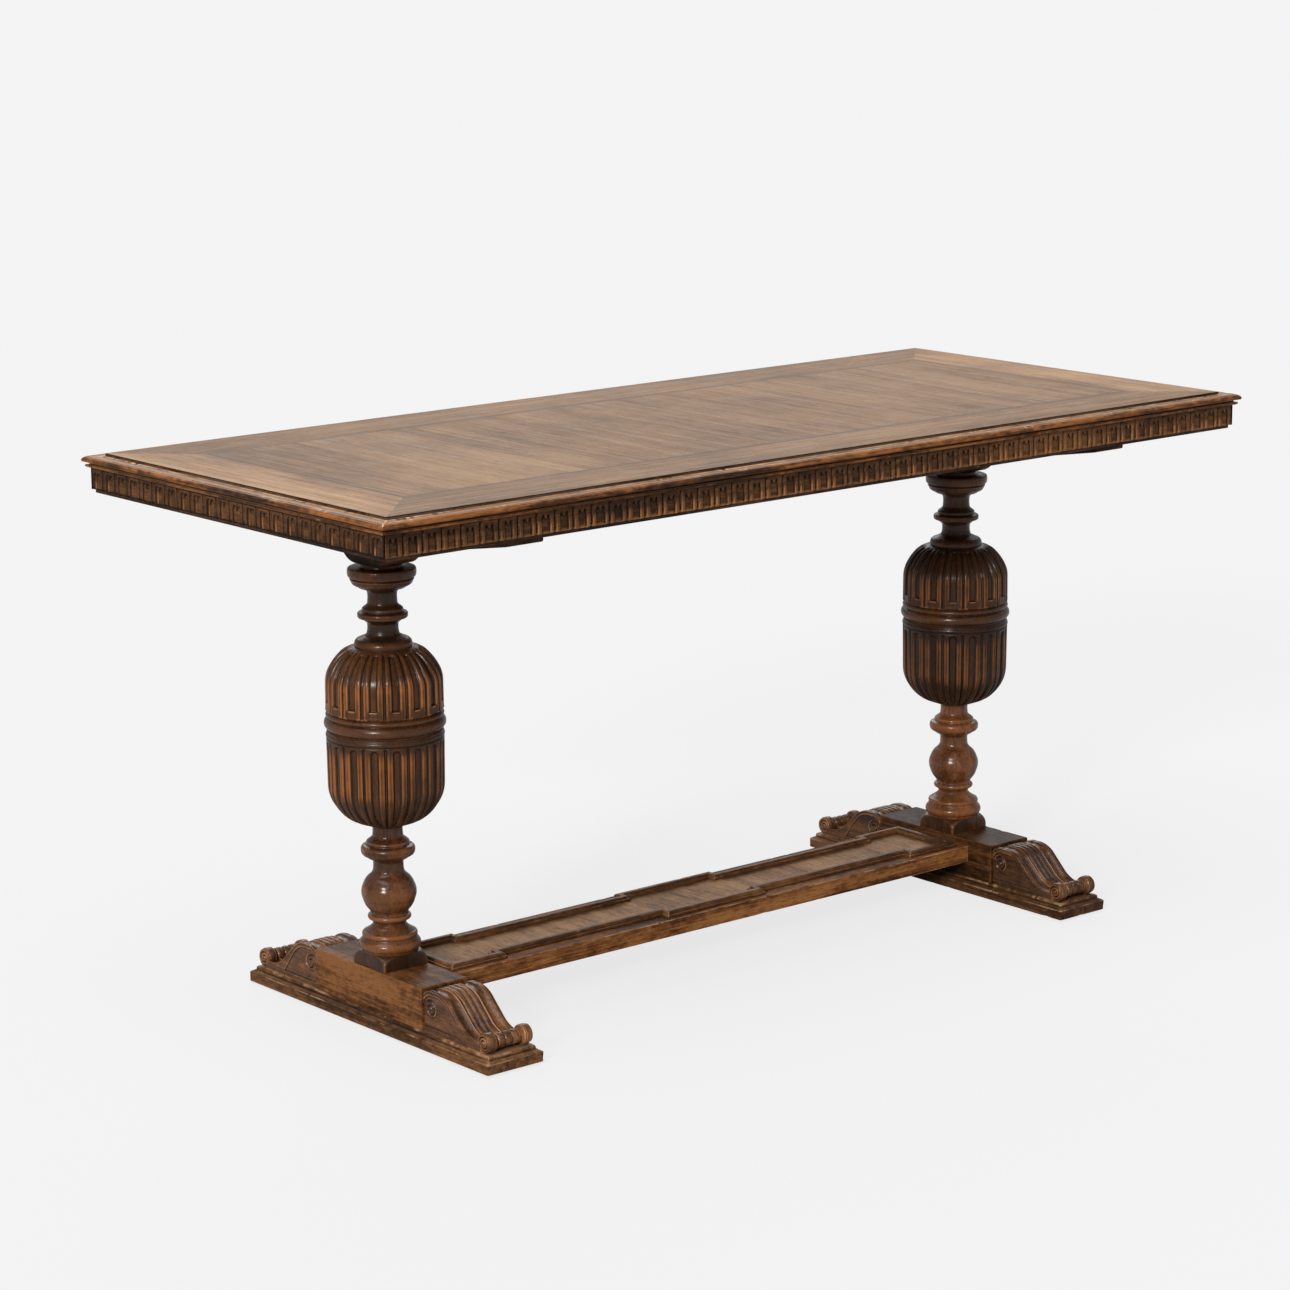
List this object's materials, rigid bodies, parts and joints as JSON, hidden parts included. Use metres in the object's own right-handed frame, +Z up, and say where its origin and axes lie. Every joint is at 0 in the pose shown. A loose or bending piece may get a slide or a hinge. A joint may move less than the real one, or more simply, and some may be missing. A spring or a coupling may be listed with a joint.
{
  "type": "communion table",
  "caption": "Oak communion table with a veneered moulded top, carved frieze, fluted cup-and-cover pillars, scrolled sledge feet and a broad panelled stretcher.",
  "frame": {"origin": "on the floor, under the middle of the top", "axes": "+X along the length of the top, -Y the front long side, +Z up"},
  "size_m": [1.54, 0.68, 0.76],
  "materials": {
    "field_veneer": "dull worn oak veneer, grain across the table",
    "border_veneer": "dull worn oak veneer",
    "stringing": "dark line let into the top",
    "edge_moulding": "satin stained oak, worn bright on its arrises",
    "frieze_oak": "satin stained oak, dark in the carving",
    "frieze_fillet": "dark stained oak",
    "bearer_oak": "stained oak, unpolished",
    "turned_oak": "polished dark oak",
    "carved_bulb": "polished dark oak, nearly black in the carving",
    "foot_oak": "worn satin oak",
    "scroll_oak": "polished oak, dark in the flutes",
    "stretcher_oak": "worn satin oak",
    "panel_mould": "satin dark oak",
    "inside_timber": "bare timber",
    "screw_steel": "dull steel",
    "pad_felt": "dark felt"
  },
  "bodies": {
    "root": {"bearer_left": "bearer_oak", "bearer_right": "bearer_oak", "border_veneer_back": "border_veneer", "border_veneer_front": "border_veneer", "border_veneer_left": "border_veneer", "border_veneer_right": "border_veneer", "corner_blocks": "inside_timber", "edge_moulding_back": "edge_moulding", "edge_moulding_front": "edge_moulding", "edge_moulding_left": "edge_moulding", "edge_moulding_right": "edge_moulding", "field_veneer": "field_veneer", "floor_pads": "pad_felt", "foot_left_base": "foot_oak", "foot_left_block": "foot_oak", "foot_left_scroll_back": "scroll_oak", "foot_left_scroll_front": "scroll_oak", "foot_right_base": "foot_oak", "foot_right_block": "foot_oak", "foot_right_scroll_back": "scroll_oak", "foot_right_scroll_front": "scroll_oak", "frieze_back": "frieze_oak", "frieze_fillet_back": "frieze_fillet", "frieze_fillet_front": "frieze_fillet", "frieze_fillet_left": "frieze_fillet", "frieze_fillet_right": "frieze_fillet", "frieze_front": "frieze_oak", "frieze_left": "frieze_oak", "frieze_right": "frieze_oak", "panel_mould_back_inner_left": "panel_mould", "panel_mould_back_inner_right": "panel_mould", "panel_mould_back_middle": "panel_mould", "panel_mould_back_outer_left": "panel_mould", "panel_mould_back_outer_right": "panel_mould", "panel_mould_front_inner_left": "panel_mould", "panel_mould_front_inner_right": "panel_mould", "panel_mould_front_middle": "panel_mould", "panel_mould_front_outer_left": "panel_mould", "panel_mould_front_outer_right": "panel_mould", "panel_mould_left_end": "panel_mould", "panel_mould_returns": "panel_mould", "panel_mould_right_end": "panel_mould", "pillar_left_band": "turned_oak", "pillar_left_cover": "carved_bulb", "pillar_left_cup": "carved_bulb", "pillar_left_dowel": "inside_timber", "pillar_left_lower": "turned_oak", "pillar_left_plinth": "turned_oak", "pillar_left_upper": "turned_oak", "pillar_right_band": "turned_oak", "pillar_right_cover": "carved_bulb", "pillar_right_cup": "carved_bulb", "pillar_right_dowel": "inside_timber", "pillar_right_lower": "turned_oak", "pillar_right_plinth": "turned_oak", "pillar_right_upper": "turned_oak", "stretcher_board": "stretcher_oak", "stringing": "stringing", "top_core": "inside_timber", "wood_screws": "screw_steel"}
  },
  "joints": []
}
